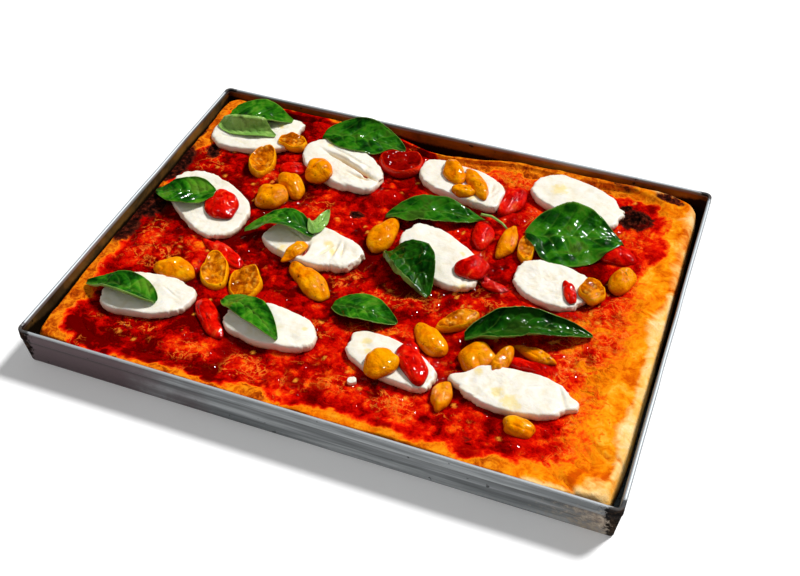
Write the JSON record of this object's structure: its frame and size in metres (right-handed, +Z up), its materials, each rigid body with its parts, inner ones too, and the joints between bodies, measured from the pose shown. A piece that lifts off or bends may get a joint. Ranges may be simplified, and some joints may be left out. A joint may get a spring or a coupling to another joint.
{
  "type": "tray pizza",
  "caption": "Rectangular pizza baked in a sheet-steel tray, with tomato sauce, torn mozzarella, halved yellow and red cherry tomatoes and basil leaves",
  "frame": {"origin": "middle of the tray's underside", "axes": "+X along the tray's long side, +Y along its short side towards the back, +Z up"},
  "size_m": [0.4, 0.3, 0.0393],
  "materials": {
    "tray_steel": "baked-on, lightly scuffed sheet steel",
    "baked_dough": "browned bread crust",
    "tomato_sauce": "wet tomato sauce",
    "mozzarella": "moist soft cheese",
    "red_tomato": "wet tomato skin",
    "yellow_tomato": "wet roasted tomato skin",
    "basil": "satin fresh leaf"
  },
  "bodies": {
    "root": {"tray": "tray_steel", "dough": "baked_dough", "tomato_sauce": "tomato_sauce", "mozzarella_1": "mozzarella", "mozzarella_2": "mozzarella", "mozzarella_3": "mozzarella", "mozzarella_4": "mozzarella", "mozzarella_5": "mozzarella", "mozzarella_6": "mozzarella", "mozzarella_7": "mozzarella", "mozzarella_8": "mozzarella", "mozzarella_9": "mozzarella", "mozzarella_10": "mozzarella", "mozzarella_11": "mozzarella", "mozzarella_12": "mozzarella", "red_tomato_1": "red_tomato", "red_tomato_2": "red_tomato", "red_tomato_3": "red_tomato", "red_tomato_4": "red_tomato", "red_tomato_5": "red_tomato", "red_tomato_6": "red_tomato", "red_tomato_7": "red_tomato", "red_tomato_8": "red_tomato", "red_tomato_9": "red_tomato", "red_tomato_10": "red_tomato", "yellow_tomato_1": "yellow_tomato", "yellow_tomato_2": "yellow_tomato", "yellow_tomato_3": "yellow_tomato", "yellow_tomato_4": "yellow_tomato", "yellow_tomato_5": "yellow_tomato", "yellow_tomato_6": "yellow_tomato", "yellow_tomato_7": "yellow_tomato", "yellow_tomato_8": "yellow_tomato", "yellow_tomato_9": "yellow_tomato", "yellow_tomato_10": "yellow_tomato", "yellow_tomato_11": "yellow_tomato", "yellow_tomato_12": "yellow_tomato", "yellow_tomato_13": "yellow_tomato", "yellow_tomato_14": "yellow_tomato", "yellow_tomato_15": "yellow_tomato", "yellow_tomato_16": "yellow_tomato", "yellow_tomato_17": "yellow_tomato", "yellow_tomato_18": "yellow_tomato", "yellow_tomato_19": "yellow_tomato", "yellow_tomato_20": "yellow_tomato", "yellow_tomato_21": "yellow_tomato", "yellow_tomato_22": "yellow_tomato", "yellow_tomato_23": "yellow_tomato", "yellow_tomato_24": "yellow_tomato", "basil_1": "basil", "basil_2": "basil", "basil_3": "basil", "basil_4": "basil", "basil_5": "basil", "basil_6": "basil", "basil_7": "basil", "basil_8": "basil", "basil_9": "basil", "basil_10": "basil", "basil_11": "basil"}
  },
  "joints": []
}
